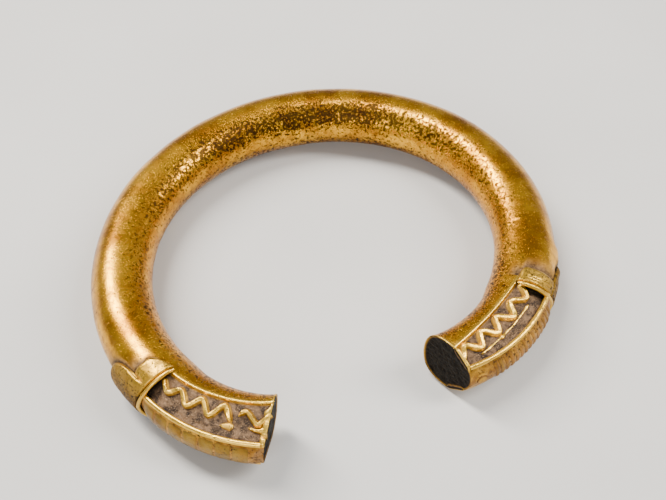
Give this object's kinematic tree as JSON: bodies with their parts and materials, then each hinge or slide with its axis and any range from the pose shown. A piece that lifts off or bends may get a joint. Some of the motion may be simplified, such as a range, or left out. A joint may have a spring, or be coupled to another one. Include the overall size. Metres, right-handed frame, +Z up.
{
  "type": "bangle bracelet",
  "caption": "Open C-shaped brass wrist bangle: round rod with petal collars and wedge-shaped ends carrying wavy threads and ribbed sides.",
  "frame": {"origin": "centre of the bangle's box on the surface that it lies on", "axes": "+X to the right and -Y towards the opening between the two ends, as the bangle lies flat; +Z up, along the wrist"},
  "size_m": [0.0791, 0.0758, 0.0118],
  "materials": {
    "patinated_brass": "old brass, glossy from wear, with dark brown speckled patina",
    "dull_brass": "dull grey-brown oxidised brass in the recesses",
    "worn_brass": "raised brass rubbed bright and yellow"
  },
  "bodies": {
    "root": {"hoop": "patinated_brass", "left_terminal": "dull_brass", "right_terminal": "dull_brass", "left_collar": "worn_brass", "right_collar": "worn_brass", "left_collar_bead": "worn_brass", "right_collar_bead": "worn_brass", "left_rim_top": "worn_brass", "left_rim_bottom": "worn_brass", "right_rim_top": "worn_brass", "right_rim_bottom": "worn_brass", "left_wave_long": "worn_brass", "left_wave_short": "worn_brass", "left_wave_bottom": "worn_brass", "left_prong": "worn_brass", "right_wave_top": "worn_brass", "right_wave_bottom": "worn_brass", "right_midline": "worn_brass", "left_end_lip": "worn_brass", "right_end_lip": "worn_brass", "left_side_pads": "dull_brass", "right_side_bars": "dull_brass", "right_boss": "worn_brass"}
  },
  "joints": []
}
